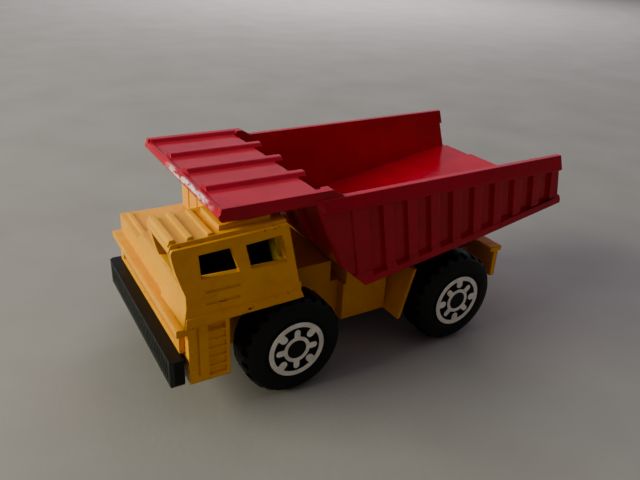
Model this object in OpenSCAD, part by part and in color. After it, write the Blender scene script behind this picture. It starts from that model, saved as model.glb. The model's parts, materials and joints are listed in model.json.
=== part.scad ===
// Small die-cast toy dump truck: cast cab and chassis, plastic base with bumper,
// tipping body with a canopy over the cab, steel axles and four plastic wheels.
// Millimetres. +X is the front of the truck, +Y its left side, +Z up; the wheels stand on Z = 0.

/* [Overall] */
// Front face of the bumper, in the drawing
nose_x = 36; // [35.5:0.1:36.5]
// Half the width of the cab and of the tipping body
half_w = 17; // [16.6:0.1:17.2]

/* [Wheels] */
// Distance between the two axles
wheelbase = 31.5; // [31:0.1:32]
// Front axle, in the drawing
front_axle_x = 17.1; // [16.8:0.1:17.3]
// Diameter over the tyre
tyre_d = 16.3; // [15.9:0.1:16.5]
// Outer face of the printed hub, from the centre plane
hub_face_y = 17.83; // [17.5:0.05:18.2]
// Width of one wheel
wheel_w = 6.6; // [6:0.1:6.8]
// Notches round each tyre shoulder
tread_notches = 24; // [12:1:26]
// Outer radius of the printed ring
print_r = 4.6; // [4.2:0.1:4.9]

/* [Axles and pin] */
// Diameter of the axle wire
axle_d = 1.2; // [1:0.1:1.4]
// Radial play of a wheel or a saddle on its axle
axle_play = 0.06; // [0.04:0.01:0.08]
// Diameter of the tipper hinge pin
pin_d = 1.5; // [1.3:0.1:1.7]
// Radial play of the tipper lugs on the pin
pin_play = 0.05; // [0.03:0.01:0.08]

/* [Cab and chassis] */
// Wall thickness of the cab and chassis casting
wall = 1.1; // [0.9:0.1:1.3]
// Top of the low deck beside the cab
deck_z = 18.5; // [18:0.1:19]
// Top of the engine hood and sill of the windscreen
hood_z = 22; // [21.4:0.1:22.2]
// Right side of the half cab
cab_right_y = 7; // [6.5:0.1:7.5]
// Top of the chassis box behind the cab
frame_z = 11.5; // [11:0.1:12]
// Underside of the chassis
belly_z = 4.6; // [4.4:0.1:4.8]

/* [Tipping body] */
// Top of the canopy ribs
canopy_z = 31.5; // [31.3:0.1:32]
// Front edge of the canopy
canopy_x = 28.3; // [27.5:0.1:29]
// Half the width of the canopy
canopy_half_w = 16.4; // [16:0.1:16.8]
// Recessed panels along each side
side_panels = 9; // [7:1:9]
// Depth of a side panel
panel_depth = 0.6; // [0.3:0.1:0.8]

/* [Hidden] */
$fn = 48;
eps = 0.01;
big = 60;

tyre_r = tyre_d / 2;
axle_r = axle_d / 2;
axle_z = 7.4;                           // axle height in the drawing; in_place lifts it to tyre_r
rear_axle_x = front_axle_x - wheelbase;
print_t = 0.12;                         // thickness of the printed foil
wheel_in_y = hub_face_y - wheel_w;      // inner face of a wheel
axle_head_r = 0.85;                     // formed head on each end of an axle
axle_head_l = 0.9;
axle_end_y = hub_face_y - 1.9;          // end of the axle, inside the blind hub

frame_half_w = 8.5;                     // chassis box between the wheels
tank_half_w = 10.3;                     // chassis box between the axles
frame_rear_x = -25.5;
skirt_z = 15.95;                        // underside of the cab and deck over the front wheels
arch_x = 27.4;                          // front edge of the front wheel arch
cab_rear_x = 15.9;
neck_x = 6;                             // rear end of the raised chassis behind the cab
neck_z = 15.4;
ledge_z = 15.5;                         // top of the ledge across the front
cab_floor_z = 17.2;

plate_t = 1;                            // base plate
plate_half_w = 7.4;
saddle_y = 5.6;                         // centre of an axle saddle
saddle_t = 1.6;
rivets = [[24.6, deck_z - 0.5], [-20.2, frame_z - 0.5]];   // x, and the height its post reaches
rivet_r = 1.2;
rivet_head_r = 1.9;
bumper_half_w = 16.8;
bumper_z = [6.1, 10.5];
bumper_back_x = 34.05;

hinge_x = -22.5;
hinge_z = 15.9;
hinge_half_w = 4.4;                     // half the width of the chassis hinge block
lug_y = [4.8, 6.4];                     // inner and outer side of a tipper lug
pin_r = pin_d / 2;

// Tipping body outline in the X-Z plane
bed_front_low = [4.9, 14.95];
bed_chin = [9.55, 19.15];                 // where the front wall bends back to the floor
bed_front_high = [14.45, 30.25];
bed_rear_high = [-34.85, 30.75];
bed_rear_low = [-36.85, 21.75];
bed_knee = [-18.2, 18.45];               // where the underside bends
floor_rear_z = 23.5;                    // floor surface at its rear edge
floor_slope = 0.158;
front_wall_t = 1.65;                    // measured along X
hollow_chin = [[5.1, 16.87], [7.99, 19.35]];  // the same bend inside the bed
corner_c = 0.9;                         // chamfer down each front corner
rim_low_z = 28.1;                       // underside of the rim band
panel_pitch = 4.38;
panel_l = 2.6;
panel_lean = 10;                        // the side ribs stand square to the underside
panel_first_x = 1;                      // rear edge of the first panel, at its foot
rail_h = 1.2;                           // bottom rail of the sides
rib_inset = 0.2;                        // the side ribs sit back from the rim band and the rail
nose_panel = [[6.4, 17.0], [8.4, rim_low_z]];   // rear edge of the plain panel ahead of the ribs
nose_panel_depth = 0.5;
canopy_panel_z = canopy_z - 0.65;
canopy_under_z = 30;
canopy_skirt_z = 29.65;
canopy_ribs_y = [-7.6, 0, 7.6];
front_ribs_y = [-9.2, -3.1, 3.1, 9.2];

function front_x(z) = bed_chin[0] + (z - bed_chin[1])
    * (bed_front_high[0] - bed_chin[0]) / (bed_front_high[1] - bed_chin[1]);
function floor_z(x) = floor_rear_z - (x - bed_rear_low[0]) * floor_slope;
function under_z(x) = x > bed_knee[0]
    ? bed_knee[1] + (x - bed_knee[0]) * (bed_front_low[1] - bed_knee[1]) / (bed_front_low[0] - bed_knee[0])
    : bed_knee[1] + (x - bed_knee[0]) * (bed_rear_low[1] - bed_knee[1]) / (bed_rear_low[0] - bed_knee[0]);

// A prism with its outline in the X-Z plane, from y0 to y1
module side_prism(outline, y0, y1) {
    translate([0, y1, 0]) rotate([90, 0, 0]) linear_extrude(y1 - y0) polygon(outline);
}

// A prism with its outline in the Y-Z plane, from x0 to x1
module cross_prism(outline, x0, x1) {
    translate([x0, 0, 0]) rotate([90, 0, 90]) linear_extrude(x1 - x0) polygon(outline);
}

// A box between two corners
module block(low, high) {
    translate(low) cube(high - low);
}

// A cylinder along Y
module bar_y(x, z, r, y0, y1) {
    translate([x, y1, z]) rotate([90, 0, 0]) cylinder(r = r, h = y1 - y0);
}

// The child and its mirror image on the right side
module both_sides() {
    children();
    mirror([0, 1, 0]) children();
}

// ---------------------------------------------------------------- cab and chassis

cab_outline = [[33.86, 15.5], [33.4, 18.5], [33.4, 20.4], [33.95, 22.1], [34.5, 24], [34.9, 25.9],
    [35.1, 27], [34.75, 27.85], [18.75, 28.5], [16.4, 17.2], [cab_rear_x, skirt_z]];
cab_side_outline = [[33.86, 15.5], [33.4, 18.5], [33.4, 20.4], [33.95, 22.1], [34.5, 24], [34.9, 25.9],
    [35, 26.9], [34.8, 27.3], [18.6, 27.95], [16.4, 17.2], [cab_rear_x, skirt_z]];
cab_hollow = [[32.3, cab_floor_z], [32.3, 20.4], [33.4, 24.5], [33.6, 26.7], [20.2, 27.25], [17.9, cab_floor_z]];
window_front = [[31.45, 26], [31.15, 22.45], [25.75, 22.3], [27, 26.2]];
window_rear = [[24.9, 26.1], [24.1, 22.35], [18.5, 22.2], [19.6, 26.5]];

module cab_shell() {
    side_prism(cab_outline, cab_right_y, half_w - 0.6);
    side_prism(cab_side_outline, half_w - 0.6 - eps, half_w);
    // three ribs across the roof, the first along its front edge
    for (x = [34.45, 32.1, 29.4])
        side_prism([[x - 0.65, 27.6], [x - 0.35, 28.4], [x + 0.35, 28.35], [x + 0.65, 27.55]], 7.6, 16.1);
    // raised rear part of the roof
    side_prism([[28, 28], [28, 28.8], [20.6, 29.15], [20.6, 28.3]], 8.7, 15.4);
    // band along the bottom of the cab side
    side_prism([[33.7, 15.5], [33.5, 17], [16.4, 17.2], [cab_rear_x, skirt_z]], half_w - eps, half_w + 0.25);
}

module deck_and_hood() {
    block([cab_rear_x + 0.4, -half_w, skirt_z], [33.4, half_w, deck_z]);
    intersection() {
        cross_prism([[-6.6, deck_z - eps], [-1.05, hood_z], [cab_right_y + eps, hood_z],
            [cab_right_y + eps, deck_z - eps]], 20.5, 35);
        side_prism([[20.5, deck_z - 1], [33.4, deck_z - 1], [33.4, 20.4], [33.95, 22.1], [20.5, 23]], -half_w, half_w);
    }
    // rib across the low deck
    side_prism([[31.5, deck_z - eps], [31.7, deck_z + 0.4], [32.3, deck_z + 0.4], [32.5, deck_z - eps]], -16, -7);
}

module bulkhead() {
    top = 29.35;
    difference() {
        block([20.3, -half_w, deck_z - eps], [22.3, cab_right_y + eps, top]);
        for (y = [-13.2, -9, -4.8, -0.6]) block([21.95, y - 0.25, deck_z + 0.6], [23, y + 0.25, top + 1]);
        translate([22.3, -half_w, 0]) rotate([0, 0, 45]) cube([0.4, 0.4, 80], center = true);
    }
}

module front_block() {
    block([arch_x, -half_w, 6.2], [33.4, half_w, skirt_z + 1]);
    // ledge across the whole front
    block([33.4 - eps, -half_w, 14.4], [34.95, half_w, ledge_z]);
    // sill strip above the bumper
    block([33.4 - eps, -15.4, 10.65], [34.2, 15.4, 11.5]);
    // solid ends of the grille slot
    both_sides() block([33.4 - eps, 13.6, 10.65], [34.2, 15.4, 14.5]);
    // fine upright grille bars
    for (y = [-12.75 : 0.75 : 12.75]) block([33.1, y - 0.16, 11.4], [33.65, y + 0.16, 14.5]);
}

module chassis_box() {
    block([frame_rear_x, -frame_half_w, belly_z], [28.2, frame_half_w, frame_z]);
    block([cab_rear_x + 0.4, -frame_half_w, frame_z - 1], [28.2, frame_half_w, skirt_z + 1]);
    block([neck_x, -frame_half_w, frame_z - 1], [cab_rear_x + 1, frame_half_w, neck_z]);
    block([-4.4, -tank_half_w, belly_z], [4.5, tank_half_w, frame_z]);
    // rails that the tipping body comes down to
    both_sides() side_prism([[4, frame_z - 1], [4, under_z(4) - 0.4], [bed_knee[0], bed_knee[1] - 0.4],
        [-20.4, under_z(-20.4) - 0.4], [-20.4, frame_z - 1]], 2.6, hinge_half_w);
    // cross member under the front of the tipping body
    side_prism([[1, frame_z - 1], [1, under_z(1) - 0.4], [4, under_z(4) - 0.4], [4, frame_z - 1]],
        -tank_half_w, tank_half_w);
    // hinge block
    side_prism([[-24.4, frame_z - 1], [hinge_x - 1.6, hinge_z], [hinge_x + 1.6, hinge_z],
        [-20, frame_z - 1]], -hinge_half_w, hinge_half_w);
    bar_y(hinge_x, hinge_z, 1.6, -hinge_half_w, hinge_half_w);
}

module mudguards() {
    both_sides() {
        side_prism([[-4.25, belly_z], [-6.65, 13.65], [-7.25, 13.65], [-4.85, belly_z]], 8, 14.5);
        side_prism([[-24.5, 8.5], [-24.5, 14.3], [frame_rear_x, 14.3], [frame_rear_x, 8.5]], 8, 15);
    }
    block([frame_rear_x, -15, frame_z - 1], [-24.5, 15, 14.3]);
    block([-26.2, -15, 13.5], [-23.6, 15, 14.3]);
}

module rivet_posts() {
    for (post = rivets) translate([post[0], 0, 0]) {
        translate([0, 0, belly_z + plate_t]) cylinder(r = 2.2, h = post[1] - belly_z - plate_t);
        translate([0, 0, belly_z + 0.15]) cylinder(r = rivet_r, h = 3);
        translate([0, 0, belly_z + 0.15]) cylinder(r = rivet_head_r, h = 0.35);
    }
}

// Door grooves, corner groove and ladder steps sunk in the cab sides
module side_relief() {
    for (z = [18.4, 20.2]) block([25.8, half_w - 0.15, z], [30.6, half_w + 1, z + 0.35]);
    block([31.9, half_w - 0.15, 7.4], [32.15, half_w + 1, 15.2]);
    for (i = [0:5]) block([28, half_w - 0.3, 6.9 + 1.45 * i], [30.5, half_w + 1, 8 + 1.45 * i]);
    block([28, half_w - 0.6, 14.25], [30.5, half_w + 1, 15.25]);
}

module cab_chassis() color("gold") {
    difference() {
        union() {
            difference() {
                union() {
                    cab_shell();
                    deck_and_hood();
                    bulkhead();
                    front_block();
                    chassis_box();
                    mudguards();
                }
                // hollow underside
                block([-24.4, -frame_half_w + wall - 0.1, belly_z - 1], [27, frame_half_w - wall + 0.1, frame_z - wall]);
                block([cab_rear_x + 0.4 + wall, -frame_half_w + wall, frame_z - 3],
                    [27, frame_half_w - wall, deck_z - wall]);
                block([neck_x + wall, -frame_half_w + wall, frame_z - 3],
                    [27, frame_half_w - wall, neck_z - wall]);
                block([-3.3, -tank_half_w + wall, belly_z - 1], [3.4, tank_half_w - wall, frame_z - wall]);
                block([arch_x + wall, -half_w + wall, 5], [33.4 - wall, half_w - wall, deck_z - wall]);
                block([27 - eps, -frame_half_w + wall - 0.1, belly_z - 1],
                    [arch_x + wall + eps, frame_half_w - wall + 0.1, deck_z - wall]);
                block([32, -12.6, 6], [33.4 + eps, 12.6, 10.4]);
                side_prism(cab_hollow, cab_right_y + wall, half_w - wall);
            }
            rivet_posts();
        }
        // side windows, windscreen and the opening beside the hood
        side_prism(window_front, half_w - 2, half_w + 2);
        side_prism(window_rear, half_w - 2, half_w + 2);
        side_prism([[30.8, 25.6], [30.7, hood_z + 0.8], [24.6, hood_z + 0.8], [24.8, 25.9]],
            cab_right_y - 1, cab_right_y + 2);
        block([32, cab_right_y + 1.9, 23], [37, half_w - 1.3, 26.5]);
        both_sides() side_relief();
        // slots that the axles pass through
        for (x = [front_axle_x, rear_axle_x])
            block([x - 1.1, -big, belly_z - 1], [x + 1.1, big, axle_z + 1.1]);
        bar_y(hinge_x, hinge_z, pin_r, -hinge_half_w - 1, hinge_half_w + 1);
    }
}

// ---------------------------------------------------------------- base plate with bumper

module saddle(x) {
    for (y = [-saddle_y, saddle_y])
        block([x - 1.7, y - saddle_t / 2, belly_z + plate_t - eps], [x + 1.7, y + saddle_t / 2, axle_z + 0.95]);
}

module base_plate() color("dimgray") {
    difference() {
        union() {
            block([-23.9, -plate_half_w, belly_z], [28.3, plate_half_w, belly_z + plate_t]);
            // the front steps up behind the bumper
            block([27.3, -plate_half_w, belly_z], [28.3, plate_half_w, 7.4]);
            block([27.3, -plate_half_w, 6.4], [32.2, plate_half_w, 7.4]);
            block([arch_x + wall + 0.1, -half_w + wall + 0.1, 6.4], [32.2, half_w - wall - 0.1, 7.4]);
            block([32, -12.4, 6.4], [bumper_back_x + 0.2, 12.4, 7.4]);
            bumper();
            saddle(front_axle_x);
            saddle(rear_axle_x);
        }
        for (x = [front_axle_x, rear_axle_x]) {
            bar_y(x, axle_z, axle_r + axle_play, -big, big);
            // the axle snaps in through a narrower slot
            block([x - 0.45, -big, axle_z], [x + 0.45, big, big]);
        }
        for (post = rivets) translate([post[0], 0, belly_z - 1]) {
            cylinder(r = rivet_r + 0.05, h = 4);
            cylinder(r = rivet_head_r + 0.2, h = 1.5);
        }
    }
}

module bumper() {
    low = bumper_z[0];
    high = bumper_z[1];
    difference() {
        cross_prism([[-bumper_half_w, low + 0.5], [-bumper_half_w + 0.4, low], [bumper_half_w - 0.4, low],
            [bumper_half_w, low + 0.5], [bumper_half_w, high], [-bumper_half_w, high]], bumper_back_x, nose_x);
        // corners of the front face are cut back
        both_sides() translate([nose_x, bumper_half_w, 0]) rotate([0, 0, 45]) cube([0.7, 0.7, big], center = true);
        // tread pattern across the front face
        for (i = [-18:18]) block([nose_x - 0.18, i * 0.84 - 0.16, low + 0.9], [nose_x + 1, i * 0.84 + 0.16, high - 0.7]);
    }
}

// ---------------------------------------------------------------- tipping body

// Everything beyond the plane through three points, which go round it as
// (b - a) x (c - a) points outwards
module beyond(a, b, c) {
    n = cross(b - a, c - a);
    tilt = asin(n[2] / norm(n));
    turn = atan2(n[1], n[0]);
    translate(a) rotate([0, -tilt, turn]) translate([0, -big, -big]) cube([2 * big, 2 * big, 2 * big]);
}

module bed_outside() {
    difference() {
        side_prism([bed_front_low, bed_chin, bed_front_high, bed_rear_high, bed_rear_low, bed_knee],
            -half_w, half_w);
        both_sides() {
            beyond([bed_chin[0] - corner_c, half_w, bed_chin[1]], [bed_front_high[0] - corner_c, half_w,
                bed_front_high[1]], [bed_front_high[0], half_w - corner_c, bed_front_high[1]]);
            // the rim band leans inwards
            cross_prism([[half_w, rim_low_z + 0.2], [half_w + 1, rim_low_z + 0.2], [half_w + 1, canopy_z],
                [half_w - 0.5, canopy_z]], -big, big);
            // the rear edge sits back between the rim band and the rail
            side_prism([[bed_rear_low[0] - 1, 23.2], [-36, 23.2], [-34.9, rim_low_z],
                [bed_rear_low[0] - 1, rim_low_z]], half_w - 3, half_w + 1);
        }
    }
}

module bed_hollow() {
    difference() {
        intersection() {
            side_prism([[-big, floor_z(-big)], hollow_chin[0], hollow_chin[1],
                [front_x(big) - front_wall_t, big], [-big, big]], -half_w, half_w);
            cross_prism([[-13.6, 16], [13.6, 16], [15.7, 30.7], [15.7, big], [-15.7, big], [-15.7, 30.7]], -big, big);
        }
        // raised centre of the floor
        side_prism([[-big, floor_z(-big) - 1], [-big, floor_z(-big) + 0.35], [5, floor_z(5) + 0.35],
            [5, floor_z(5) - 1]], -6.4, 6.4);
    }
}

module side_panels() {
    side_prism([[bed_rear_low[0] - 1, under_z(bed_rear_low[0] - 1) + rail_h], [bed_knee[0], bed_knee[1] + rail_h],
        nose_panel[0], nose_panel[1], [bed_rear_low[0] - 1, rim_low_z]],
        half_w - rib_inset, half_w + 1);
    side_prism([nose_panel[0], [20, nose_panel[0][1]], [20, nose_panel[1][1]], nose_panel[1]],
        half_w - nose_panel_depth, half_w + 1);
    for (i = [0 : side_panels - 1]) {
        x = panel_first_x - i * panel_pitch;
        low = under_z(x) + rail_h;
        translate([x, half_w - rib_inset - panel_depth, low]) intersection() {
            rotate([0, panel_lean, 0]) block([0, 0, 0], [panel_l, 2, 20]);
            block([-5, -1, -5], [10, 3, rim_low_z - low]);
        }
    }
}

module canopy() {
    rear_x = 12.8;
    block([rear_x, -canopy_half_w, canopy_under_z], [canopy_x - 0.5, canopy_half_w, canopy_panel_z]);
    // rolled front lip
    bar_y(canopy_x - 0.65, canopy_panel_z - 0.55, 0.7, -canopy_half_w, canopy_half_w);
    for (y = canopy_ribs_y)
        cross_prism([[y - 1.1, canopy_panel_z - eps], [y - 0.5, canopy_z], [y + 0.5, canopy_z],
            [y + 1.1, canopy_panel_z - eps]], 11.4, canopy_x - 1.3);
    both_sides() {
        side_prism([[9.3, bed_front_high[1]], [11.4, canopy_z], [canopy_x - 0.35, canopy_z],
            [canopy_x, canopy_skirt_z + 0.5], [canopy_x - 0.4, canopy_skirt_z], [12.5, canopy_skirt_z],
            [8.4, rim_low_z]], canopy_half_w - 0.9, canopy_half_w);
        cross_prism([[canopy_half_w - 1.7, canopy_panel_z - eps], [canopy_half_w - 1.1, canopy_z],
            [canopy_half_w - 0.5, canopy_z], [canopy_half_w - 0.5, canopy_panel_z - eps]], 11.4, canopy_x - 0.6);
        // gusset from the canopy down to the rim
        side_prism([[9.3, 30.2], [11.4, canopy_z], [12.6, canopy_z], [12.6, 29.7], [9.3, 29]],
            canopy_half_w - 1.7, canopy_half_w);
    }
}

// Upright ribs on the front wall, under the canopy
module front_ribs() {
    for (y = front_ribs_y)
        side_prism([[front_x(20) - 0.3, 20], [front_x(20) + 0.1, 20], [front_x(21) + 0.6, 21],
            [front_x(canopy_under_z) + 0.6, canopy_under_z + eps],
            [front_x(canopy_under_z) - 0.3, canopy_under_z + eps]], y - 0.55, y + 0.55);
}

module tipper_lugs() {
    both_sides() {
        side_prism([[hinge_x - 1.5, hinge_z], [hinge_x - 1.9, under_z(hinge_x - 1.9) + 0.5],
            [hinge_x + 2.6, under_z(hinge_x + 2.6) + 0.5], [hinge_x + 1.5, hinge_z]], lug_y[0], lug_y[1]);
        bar_y(hinge_x, hinge_z, 1.5, lug_y[0], lug_y[1]);
    }
}

module tipper_body() color("firebrick") {
    difference() {
        union() {
            difference() {
                bed_outside();
                bed_hollow();
                both_sides() side_panels();
            }
            canopy();
            front_ribs();
            tipper_lugs();
        }
        bar_y(hinge_x, hinge_z, pin_r + pin_play, -lug_y[1] - 1, lug_y[1] + 1);
    }
}

module hinge_pin() color("silver") {
    bar_y(hinge_x, hinge_z, pin_r, -lug_y[1] - 0.2, lug_y[1] + 0.2);
}

// ---------------------------------------------------------------- axles and wheels

module axle(x) {
    translate([x, 0, axle_z]) rotate([90, 0, 0]) rotate_extrude() polygon([
        [0, -axle_end_y], [axle_head_r - 0.25, -axle_end_y], [axle_head_r, -axle_end_y + 0.3],
        [axle_head_r, -axle_end_y + axle_head_l], [axle_r, -axle_end_y + axle_head_l],
        [axle_r, axle_end_y - axle_head_l], [axle_head_r, axle_end_y - axle_head_l],
        [axle_head_r, axle_end_y - 0.3], [axle_head_r - 0.25, axle_end_y], [0, axle_end_y]]);
}

module front_axle() color("silver") { axle(front_axle_x); }

module rear_axle() color("silver") { axle(rear_axle_x); }

// Flat pattern of the hub: an outer ring with four short arms inward, and an inner
// ring with four short arms outward between them
module hub_pattern() {
    difference() { circle(r = print_r); circle(r = print_r * 0.835); }
    difference() { circle(r = print_r * 0.475); circle(r = print_r * 0.345); }
    for (a = [0:90:270]) rotate(a) {
        translate([-0.5, print_r * 0.44]) square([1, print_r * 0.2]);
        translate([0, print_r * 0.64]) circle(r = 0.5);
        rotate(45) translate([-0.62, print_r * 0.68]) square([1.24, print_r * 0.18]);
        rotate(45) translate([0, print_r * 0.68]) circle(r = 0.62);
    }
}

// A wheel on its back, outer face up at height wheel_w. Its tyre bulges out to the tread
module wheel_shape() {
    face = wheel_w - print_t;
    chamber_low = axle_end_y - axle_head_l - wheel_in_y - 0.3;
    chamber_high = axle_end_y - wheel_in_y + 0.3;
    difference() {
        rotate_extrude() polygon([[0, 0.6], [2.2, 0.6], [2.2, 3.2], [5.2, 3.2], [5.6, 0], [6.6, 0.1],
            [tyre_r - 0.4, 0.7], [tyre_r, 1.6], [tyre_r, wheel_w - 1.8], [tyre_r - 0.15, wheel_w - 1.1],
            [tyre_r - 0.7, wheel_w - 0.5], [6.3, wheel_w - 0.15], [5.3, face], [5, face - 0.25],
            [print_r + 0.12, face - 0.25], [print_r, face], [0, face]]);
        // bore, and the chamber behind it that holds the axle head
        translate([0, 0, -1]) cylinder(r = axle_r + axle_play, h = chamber_low + 1.2);
        translate([0, 0, chamber_low]) cylinder(r = axle_head_r + 0.3, h = chamber_high - chamber_low);
        // sunk ground of the hub pattern
        translate([0, 0, face - 0.5]) linear_extrude(1) difference() {
            circle(r = print_r * 0.84);
            circle(r = print_r * 0.34);
            hub_pattern();
        }
        // notches across both shoulders of the tread
        for (i = [0 : tread_notches - 1]) rotate([0, 0, (i + 0.5) * 360 / tread_notches])
            for (z = [-1, wheel_w - 2.2]) translate([tyre_r - 0.5, -0.45, z]) cube([2, 0.9, 3.2]);
    }
}

// side is 1 for the left of the truck and -1 for the right. The rear wheels have rolled
// an eighth of a turn further than the front ones
module place_wheel(x, side) {
    translate([x, side * wheel_in_y, axle_z]) rotate([-90 * side, 0, 0])
        rotate([0, 0, x == rear_axle_x ? 45 : 0]) children();
}

module wheel(x, side) color("black") place_wheel(x, side) wheel_shape();

module hub_print(x, side) color("gainsboro") place_wheel(x, side)
    translate([0, 0, wheel_w - print_t]) linear_extrude(print_t) hub_pattern();

// Moves the drawing until the tyres stand on Z = 0 and the outline is centred on X = 0
module in_place() {
    translate([-(nose_x + bed_rear_low[0]) / 2, 0, tyre_r - axle_z]) children();
}

in_place() cab_chassis();
in_place() base_plate();
in_place() tipper_body();
in_place() hinge_pin();
in_place() front_axle();
in_place() rear_axle();
in_place() wheel(front_axle_x, 1);  // wheel_front_left
in_place() wheel(front_axle_x, -1);  // wheel_front_right
in_place() wheel(rear_axle_x, 1);  // wheel_rear_left
in_place() wheel(rear_axle_x, -1);  // wheel_rear_right
in_place() hub_print(front_axle_x, 1);  // hub_print_front_left
in_place() hub_print(front_axle_x, -1);  // hub_print_front_right
in_place() hub_print(rear_axle_x, 1);  // hub_print_rear_left
in_place() hub_print(rear_axle_x, -1);  // hub_print_rear_right
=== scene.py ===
import json
from math import cos, radians, sin

import bmesh
import bpy
from mathutils import Matrix, Vector


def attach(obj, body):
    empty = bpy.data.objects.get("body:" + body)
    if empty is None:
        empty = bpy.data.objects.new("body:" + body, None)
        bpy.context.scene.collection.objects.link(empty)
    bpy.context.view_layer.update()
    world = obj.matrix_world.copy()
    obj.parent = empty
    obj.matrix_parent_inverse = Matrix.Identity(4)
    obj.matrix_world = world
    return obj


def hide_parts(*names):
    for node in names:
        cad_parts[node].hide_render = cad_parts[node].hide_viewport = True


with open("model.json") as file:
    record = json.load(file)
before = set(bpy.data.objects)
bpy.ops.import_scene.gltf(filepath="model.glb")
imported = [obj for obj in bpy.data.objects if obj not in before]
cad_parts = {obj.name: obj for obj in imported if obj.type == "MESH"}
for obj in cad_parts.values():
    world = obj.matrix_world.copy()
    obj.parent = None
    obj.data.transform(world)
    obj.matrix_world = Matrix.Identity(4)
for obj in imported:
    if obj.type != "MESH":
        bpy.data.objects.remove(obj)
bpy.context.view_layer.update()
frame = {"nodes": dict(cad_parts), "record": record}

MM = 0.001

# ------------------------------------------------------------------ camera
# The view of the reference: from the truck's front left, above, with a slight roll
CAM_PLACE = Vector((54.785, 83.44, 63.50)) * MM
CAM_AZIMUTH = radians(58.47)
CAM_ELEVATION = radians(26.11)
CAM_ROLL = radians(2.99)
CAM_LENS = 34.68


def make_camera():
    data = bpy.data.cameras.new("view")
    data.lens = CAM_LENS
    data.sensor_width = 36
    data.clip_start = 5 * MM
    cam = bpy.data.objects.new("view", data)
    bpy.context.scene.collection.objects.link(cam)
    back = Vector((cos(CAM_AZIMUTH) * cos(CAM_ELEVATION),
                   sin(CAM_AZIMUTH) * cos(CAM_ELEVATION),
                   sin(CAM_ELEVATION)))
    level = (-back).cross(Vector((0, 0, 1))).normalized()
    upright = level.cross(-back)
    right = cos(CAM_ROLL) * level + sin(CAM_ROLL) * upright
    up = -sin(CAM_ROLL) * level + cos(CAM_ROLL) * upright
    basis = Matrix((right, up, back)).transposed().to_4x4()
    cam.matrix_world = Matrix.Translation(CAM_PLACE) @ basis
    bpy.context.scene.camera = cam


make_camera()

# ------------------------------------------------------------------ materials
NOISE_SPREAD = (0.3, 0.8)  # most of a noise lies between these
EDGE_FADE = (0.99, 0.9)  # cosines between the rounded normal and the flat one, off an edge and on it
EDGE_SAMPLES = 6
MASK_SOFT = 0.1  # how far a mask takes to fade, in millimetres to each side
CHIP_SOFT = 0.12  # the soft rim of a chip, in millimetres


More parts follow.
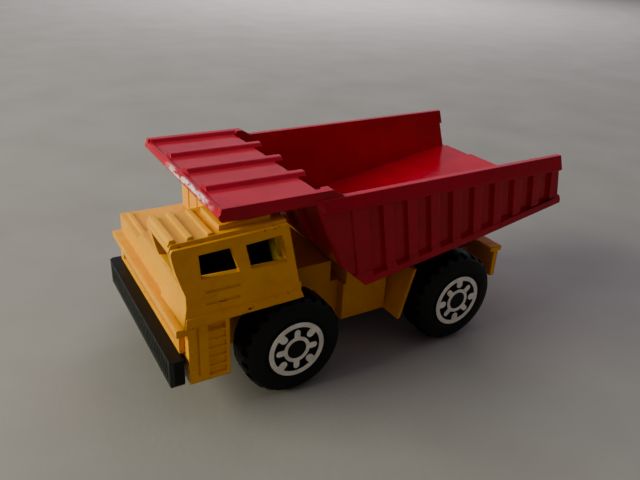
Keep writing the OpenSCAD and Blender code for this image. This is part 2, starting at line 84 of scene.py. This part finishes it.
class Nodes:
    """A short way to write a node material."""

    def __init__(self, name):
        self.mat = bpy.data.materials.new(name)
        self.mat.use_nodes = True
        self.tree = self.mat.node_tree
        self.tree.nodes.clear()
        self.bsdf = self.add("BsdfPrincipled")
        self.link(self.bsdf.outputs[0], self.add("OutputMaterial").inputs["Surface"])
        self.place = self.add("TexCoord").outputs["Object"]

    def add(self, kind):
        return self.tree.nodes.new("ShaderNode" + kind)

    def link(self, source, socket):
        self.tree.links.new(source, socket)

    def surface(self, name, value):
        """Sets an input of the surface to a constant."""
        self.bsdf.inputs[name].default_value = value

    def colour(self, source):
        self.link(source, self.bsdf.inputs["Base Color"])

    def roughness(self, scale, low, high):
        """Lets the roughness wander between two values."""
        source = self.ramp(self.noise(scale), *NOISE_SPREAD, low, high)
        self.link(source, self.bsdf.inputs["Roughness"])

    def noise(self, scale, detail=3, rough=0.5, stretch=None):
        """Noise with about this many lumps to a metre."""
        node = self.add("TexNoise")
        node.inputs["Scale"].default_value = scale
        node.inputs["Detail"].default_value = detail
        node.inputs["Roughness"].default_value = rough
        place = self.place
        if stretch:
            mapping = self.add("Mapping")
            mapping.inputs["Scale"].default_value = stretch
            self.link(place, mapping.inputs["Vector"])
            place = mapping.outputs[0]
        self.link(place, node.inputs["Vector"])
        return node.outputs["Fac"]

    def ramp(self, source, low, high, at_low=0.0, at_high=1.0):
        """Goes from one value to the other as the source goes from low to high."""
        node = self.add("MapRange")
        node.inputs["From Min"].default_value = low
        node.inputs["From Max"].default_value = high
        node.inputs["To Min"].default_value = at_low
        node.inputs["To Max"].default_value = at_high
        self.link(source, node.inputs["Value"])
        return node.outputs[0]

    def math(self, operation, *values):
        node = self.add("Math")
        node.operation = operation
        for socket, value in zip(node.inputs, values):
            if isinstance(value, (int, float)):
                socket.default_value = value
            else:
                self.link(value, socket)
        return node.outputs[0]

    def mix(self, share, first, second):
        """Mixes two colours, given as tuples or as sockets."""
        node = self.add("Mix")
        node.data_type = "RGBA"
        self.link(share, node.inputs["Factor"])
        for socket, value in ((node.inputs["A"], first), (node.inputs["B"], second)):
            if isinstance(value, tuple):
                socket.default_value = (*value, 1)
            else:
                self.link(value, socket)
        return node.outputs["Result"]

    def bump(self, *layers, normal=None):
        """Layers of (height, distance in metres), the coarse one first."""
        for height, distance in layers:
            node = self.add("Bump")
            node.inputs["Distance"].default_value = distance
            self.link(height, node.inputs["Height"])
            if normal:
                self.link(normal, node.inputs["Normal"])
            normal = node.outputs[0]
        self.link(normal, self.bsdf.inputs["Normal"])

    def rounded(self, radius):
        """The normal as if every edge had this radius."""
        bevel = self.add("Bevel")
        bevel.inputs["Radius"].default_value = radius
        bevel.samples = EDGE_SAMPLES
        return bevel.outputs[0]

    def edge(self, radius):
        """1 near an outer or inner edge, 0 on flat ground."""
        dot = self.add("VectorMath")
        dot.operation = "DOT_PRODUCT"
        self.link(self.rounded(radius), dot.inputs[0])
        self.link(self.add("NewGeometry").outputs["Normal"], dot.inputs[1])
        return self.ramp(dot.outputs["Value"], *EDGE_FADE)

    def axes(self):
        """The place on the part in millimetres: x forward, y left, z up."""
        split = self.add("SeparateXYZ")
        self.link(self.place, split.inputs[0])
        return [self.math("MULTIPLY", socket, 1 / MM) for socket in split.outputs]

    def foot_of(self, x, z, lean):
        """Where on the ground a wall through x and z stands, if it leans forward by this
        much to each unit of height."""
        return self.math("ADD", x, self.math("MULTIPLY", z, -lean))

    def above(self, value, limit, soft=MASK_SOFT):
        return self.ramp(value, limit - soft, limit + soft)

    def below(self, value, limit, soft=MASK_SOFT):
        return self.ramp(value, limit - soft, limit + soft, 1, 0)

    def between(self, value, span, soft=MASK_SOFT):
        low, high = span
        return self.both(self.above(value, low, soft), self.below(value, high, soft))

    def both(self, *masks):
        """1 where every mask is 1."""
        result = masks[0]
        for mask in masks[1:]:
            result = self.math("MULTIPLY", result, mask)
        return result

    def spot(self, centre, radius, ragged):
        """1 in a ragged spot round a place in millimetres."""
        node = self.add("VectorMath")
        node.operation = "DISTANCE"
        self.link(self.place, node.inputs[0])
        node.inputs[1].default_value = Vector(centre) * MM
        away = self.math("MULTIPLY", node.outputs["Value"], 1 / MM)
        return self.ramp(self.math("ADD", away, ragged), radius, radius - CHIP_SOFT)


WEAR_REACH = 0.2 * MM  # the enamel is worn this near to an edge
GRIME_SHARE = 0.3
GRIME_DARKNESS = 0.55  # of the deep colour


def enamel(name, colour, deep, bare, rough, worn, edge_radius):
    """Thick enamel on a zinc casting, with grime and worn edges. Returns the node writer
    and its colour, for what only one of the castings has."""
    nodes = Nodes(name)
    patches = nodes.ramp(nodes.noise(160, detail=2), 0.35, 0.7)
    base = nodes.mix(patches, colour, deep)
    grime = nodes.ramp(nodes.noise(420, detail=5, rough=0.65), 0.5, 0.75, 0, GRIME_SHARE)
    base = nodes.mix(grime, base, tuple(GRIME_DARKNESS * channel for channel in deep))
    flakes = nodes.ramp(nodes.noise(700, detail=4, rough=0.6), worn, worn + 0.04)
    base = nodes.mix(nodes.both(nodes.edge(WEAR_REACH), flakes), base, bare)
    nodes.roughness(900, rough, rough + 0.1)
    waves = (nodes.noise(330, detail=2), 0.04 * MM)
    pores = (nodes.noise(2400, detail=2), 0.003 * MM)
    nodes.bump(waves, pores, normal=nodes.rounded(edge_radius))
    return nodes, base


# The chips that the reference shows: the place on the casting and the radius, in millimetres
CHIPS = (
    # foot of the cab's side, over the front wheel
    ((24.9, 17.25, 17.1), 0.25), ((24.4, 17.25, 17.2), 0.2), ((23.0, 17.2, 18.6), 0.1),
    # front corner of the roof
    ((34.2, 16.4, 27.9), 0.3),
    # sill of the windscreen
    ((34.6, 15.2, 22.9), 0.45), ((34.5, 13.4, 22.9), 0.35), ((34.4, 10.6, 22.8), 0.4),
    # left edge of the roof, near its rear end
    ((20.3, 17.0, 28.5), 0.2), ((21.1, 17.0, 28.5), 0.16), ((22.6, 17.0, 28.5), 0.18),
    # front edge of the low deck
    ((34.1, 4.0, 19.6), 0.25))
CHIP_COLOUR = (0.045, 0.03, 0.015)
CHIP_RAGGED = 0.3  # how far a chip's rim strays, in millimetres

# The inside of the cab, in millimetres. Its rear wall and its windscreen lean forward: each has
# the lean to a unit of height, and the x that its plane would have on the ground.
CAB_Y = (7.9, 16.1)
CAB_Z = (17.8, 28.2)
REAR_WALL_LEAN = 0.229
REAR_WALL_FOOT = 13.5
SCREEN_LEAN = 0.27
SCREEN_FOOT = 27.2
# Painted shade: it is painted dark on the right and painted lit on the left, by the side window
CAB_FADE_Y = (12.0, 16.3)
CAB_PAINTED_SHADE = (0.004, 0.003, 0.001)
CAB_PAINTED_LIGHT = (0.8, 0.5, 0.03)


def cab_enamel(name):
    nodes, base = enamel(name, colour=(0.82, 0.35, 0.008), deep=(0.75, 0.30, 0.004),
                         bare=(0.10, 0.075, 0.05), rough=0.27, worn=0.6, edge_radius=0.35 * MM)
    ragged = nodes.ramp(nodes.noise(2600, detail=4, rough=0.7), 0.2, 0.8, -CHIP_RAGGED, CHIP_RAGGED)
    for centre, radius in CHIPS:
        base = nodes.mix(nodes.spot(centre, radius, ragged), base, CHIP_COLOUR)
    # Painted shade: the inside of the cab is painted dark, and painted lighter towards the side
    # window
    x, y, z = nodes.axes()
    inside = nodes.both(nodes.between(y, CAB_Y), nodes.between(z, CAB_Z),
                        nodes.above(nodes.foot_of(x, z, REAR_WALL_LEAN), REAR_WALL_FOOT),
                        nodes.below(nodes.foot_of(x, z, SCREEN_LEAN), SCREEN_FOOT))
    painted_shade = nodes.mix(nodes.ramp(y, *CAB_FADE_Y), CAB_PAINTED_SHADE, CAB_PAINTED_LIGHT)
    nodes.colour(nodes.mix(inside, base, painted_shade))
    nodes.surface("Specular IOR Level", 0.22)
    nodes.surface("Specular Tint", (1.0, 0.95, 0.45, 1))
    return nodes.mat


# The lip of the canopy is bright along its middle: partly rubbed wear, partly a painted highlight.
# Places are in millimetres.
WEAR_AND_HIGHLIGHT_X = (28.35, 30)
WEAR_AND_HIGHLIGHT_Y = (-3.5, 12)
WEAR_AND_HIGHLIGHT_Z = 31.05
WEAR_AND_HIGHLIGHT_COLOUR = (0.80, 0.66, 0.70)


def body_enamel(name):
    nodes, base = enamel(name, colour=(0.46, 0.001, 0.020), deep=(0.38, 0.001, 0.016),
                         bare=(0.22, 0.10, 0.10), rough=0.13, worn=0.66, edge_radius=0.3 * MM)
    x, y, z = nodes.axes()
    streaks = nodes.ramp(nodes.noise(1500, detail=3, rough=0.6, stretch=(1, 0.35, 1)), 0.42, 0.58)
    # Partly rubbed wear, partly a painted highlight: a streaked pale band along the top of the lip
    wear_and_highlight = nodes.both(nodes.between(x, WEAR_AND_HIGHLIGHT_X, soft=0.15), nodes.between(y, WEAR_AND_HIGHLIGHT_Y, soft=2.5),
                        nodes.above(z, WEAR_AND_HIGHLIGHT_Z, soft=0.15), streaks)
    nodes.colour(nodes.mix(wear_and_highlight, base, WEAR_AND_HIGHLIGHT_COLOUR))
    nodes.surface("Specular IOR Level", 0.2)
    return nodes.mat


def plastic(name, colour, rough, grain):
    """Black plastic with dust on it. The grain is the height of its bumps."""
    nodes = Nodes(name)
    dust = nodes.ramp(nodes.noise(300, detail=5, rough=0.7), 0.5, 0.8, 0, 0.4)
    nodes.colour(nodes.mix(dust, colour, tuple(2 * channel + 0.003 for channel in colour)))
    nodes.surface("Specular IOR Level", 0.16)
    nodes.roughness(600, rough - 0.08, rough + 0.1)
    nodes.bump((nodes.noise(1500), grain))
    return nodes.mat


def foil(name):
    """The silver print on the hubs, dulled in places."""
    nodes = Nodes(name)
    dulled = nodes.ramp(nodes.noise(500, detail=4, rough=0.6), 0.4, 0.75)
    nodes.colour(nodes.mix(dulled, (0.86, 0.83, 0.76), (0.62, 0.60, 0.54)))
    nodes.surface("Metallic", 0.2)
    nodes.roughness(1200, 0.38, 0.6)
    nodes.bump((nodes.noise(2500, detail=2), 0.006 * MM))
    return nodes.mat


def steel(name):
    """Drawn wire, with marks that run along it."""
    nodes = Nodes(name)
    nodes.colour(nodes.mix(nodes.noise(800, detail=4), (0.55, 0.54, 0.52), (0.30, 0.29, 0.28)))
    nodes.surface("Metallic", 1.0)
    nodes.roughness(1500, 0.25, 0.5)
    nodes.bump((nodes.noise(3000, detail=2, stretch=(1, 0.05, 1)), 0.004 * MM))
    return nodes.mat


FINISH = {
    "yellow_paint": cab_enamel("yellow_enamel"),
    "red_paint": body_enamel("red_enamel"),
    "black_plastic": plastic("black_plastic", (0.005, 0.006, 0.0055), rough=0.45, grain=0.01 * MM),
    "wheel_plastic": plastic("wheel_plastic", (0.006, 0.0065, 0.0065), rough=0.50, grain=0.012 * MM),
    "hub_foil": foil("hub_foil"),
    "steel_wire": steel("steel_wire")}

# ------------------------------------------------------------------ pieces from the CAD nodes
SLOT_OF = {part["node"]: part["material_slot"] for part in frame["record"]["subparts"]}
BODY_OF = {node: body for body, members in frame["record"]["behaviour"]["bodies"].items()
           for node in members}

MERGE_DISTANCE = 0.002 * MM
FLAT_ANGLE = radians(0.2)  # faces that meet at less become one
SHARP_ANGLE = radians(25)  # edges that turn by more get rounded
ROUND_PROFILE = 0.6
# Width of the rounding
CAST_ROUND = 0.16 * MM
MOULD_ROUND = 0.08 * MM
TYRE_ROUND = 0.12 * MM
PRINT_ROUND = 0.03 * MM


def add_piece(name, mesh, node):
    """Puts a finished mesh in the place of a CAD node."""
    mesh.materials.clear()
    mesh.materials.append(FINISH[SLOT_OF[node]])
    piece = bpy.data.objects.new(name, mesh)
    bpy.context.scene.collection.objects.link(piece)
    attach(piece, BODY_OF[node])
    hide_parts(node)
    return piece


def soften(node, name, width, segments=2):
    """The node's own shape, with its sharp edges rounded by this width."""
    bm = bmesh.new()
    bm.from_mesh(frame["nodes"][node].data)
    bmesh.ops.remove_doubles(bm, verts=bm.verts, dist=MERGE_DISTANCE)
    bmesh.ops.dissolve_limit(bm, angle_limit=FLAT_ANGLE, verts=bm.verts, edges=bm.edges)
    sharp = [edge for edge in bm.edges
             if len(edge.link_faces) == 2 and edge.calc_face_angle(0) > SHARP_ANGLE]
    bmesh.ops.bevel(bm, geom=sharp, offset=width, offset_type="OFFSET", segments=segments,
                    profile=ROUND_PROFILE, affect="EDGES", clamp_overlap=True)
    mesh = bpy.data.meshes.new(name)
    bm.to_mesh(mesh)
    bm.free()
    mesh.polygons.foreach_set("use_smooth", [True] * len(mesh.polygons))
    piece = add_piece(name, mesh, node)
    normals = piece.modifiers.new("weighted_normals", "WEIGHTED_NORMAL")
    normals.keep_sharp = False


def make_body_pieces():
    soften("cab_chassis", "cab_casting", CAST_ROUND)
    soften("tipper_body", "tipper_casting", CAST_ROUND)
    soften("base_plate", "base_moulding", MOULD_ROUND)


def make_wheels():
    for end in ("front", "rear"):
        for side in ("left", "right"):
            soften(f"wheel_{end}_{side}", f"tyre_{end}_{side}", TYRE_ROUND)
            soften(f"hub_print_{end}_{side}", f"hub_foil_{end}_{side}", PRINT_ROUND, segments=1)


def finish_wires():
    """The pin and the axles show as the CAD made them, in steel."""
    for node in ("hinge_pin", "front_axle", "rear_axle"):
        materials = frame["nodes"][node].data.materials
        materials.clear()
        materials.append(FINISH[SLOT_OF[node]])


make_body_pieces()
finish_wires()
make_wheels()

# ------------------------------------------------------------------ floor and light
# The floor and the lights are in metres
FLOOR_SIZE = 2
BACKDROP = (-0.36, -0.58)  # the ground far behind the truck, where it gets lighter

# The room is bright on the far side of the truck and dim behind the camera
BRIGHT_SIDE = (-0.42, -0.68, 0.60)
BRIGHT_COLOUR = (0.38, 0.42, 0.50, 1)
DIM_COLOUR = (0.17, 0.132, 0.11, 1)
ROOM_FADE = (-0.3, 0.85)  # cosines with the bright side: dim below the first, bright above the second


def make_floor():
    bpy.ops.mesh.primitive_plane_add(size=FLOOR_SIZE, location=(0, 0, 0))
    floor = bpy.context.object
    floor.name = "floor"
    nodes = Nodes("floor_paper")
    patches = nodes.ramp(nodes.noise(40, detail=4), 0.35, 0.7)
    nodes.colour(nodes.mix(patches, (0.262, 0.236, 0.232), (0.232, 0.207, 0.202)))
    nodes.surface("Roughness", 0.9)
    nodes.surface("Specular IOR Level", 0.2)
    nodes.bump((nodes.noise(900), 0.03 * MM))
    floor.data.materials.append(nodes.mat)


def area_light(name, place, target, size, power, colour, mirrored=True):
    """A rectangular lamp. If it isn't mirrored, it makes no highlights."""
    data = bpy.data.lights.new(name, "AREA")
    data.shape = "RECTANGLE"
    data.size, data.size_y = size
    data.energy = power
    data.color = colour
    lamp = bpy.data.objects.new(name, data)
    lamp.location = place
    lamp.rotation_euler = (Vector(target) - Vector(place)).to_track_quat("-Z", "Y").to_euler()
    lamp.visible_glossy = mirrored
    bpy.context.scene.collection.objects.link(lamp)


def make_room():
    world = bpy.data.worlds.new("room")
    world.use_nodes = True
    tree = world.node_tree
    dot = tree.nodes.new("ShaderNodeVectorMath")
    dot.operation = "DOT_PRODUCT"
    dot.inputs[1].default_value = BRIGHT_SIDE
    tree.links.new(tree.nodes.new("ShaderNodeTexCoord").outputs["Generated"], dot.inputs[0])
    ramp = tree.nodes.new("ShaderNodeMapRange")
    ramp.interpolation_type = "SMOOTHSTEP"
    ramp.inputs["From Min"].default_value, ramp.inputs["From Max"].default_value = ROOM_FADE
    tree.links.new(dot.outputs["Value"], ramp.inputs["Value"])
    colour = tree.nodes.new("ShaderNodeMix")
    colour.data_type = "RGBA"
    colour.inputs["A"].default_value = DIM_COLOUR
    colour.inputs["B"].default_value = BRIGHT_COLOUR
    tree.links.new(ramp.outputs[0], colour.inputs["Factor"])
    tree.links.new(colour.outputs["Result"], tree.nodes["Background"].inputs["Color"])
    bpy.context.scene.world = world


def make_light():
    area_light("window", place=(0.46, -0.13, 0.215), target=(0.01, 0, 0.015),
               size=(0.34, 0.26), power=4.0, colour=(0.93, 1.0, 0.73))
    area_light("ceiling", place=(-0.10, -0.10, 0.60), target=(0, 0, 0),
               size=(0.4, 0.4), power=0.35, colour=(0.95, 0.97, 1.0))
    area_light("backdrop", place=(*BACKDROP, 0.30), target=(*BACKDROP, 0),
               size=(0.5, 0.4), power=5.0, colour=(1.0, 0.98, 0.97), mirrored=False)


make_floor()
make_light()
make_room()
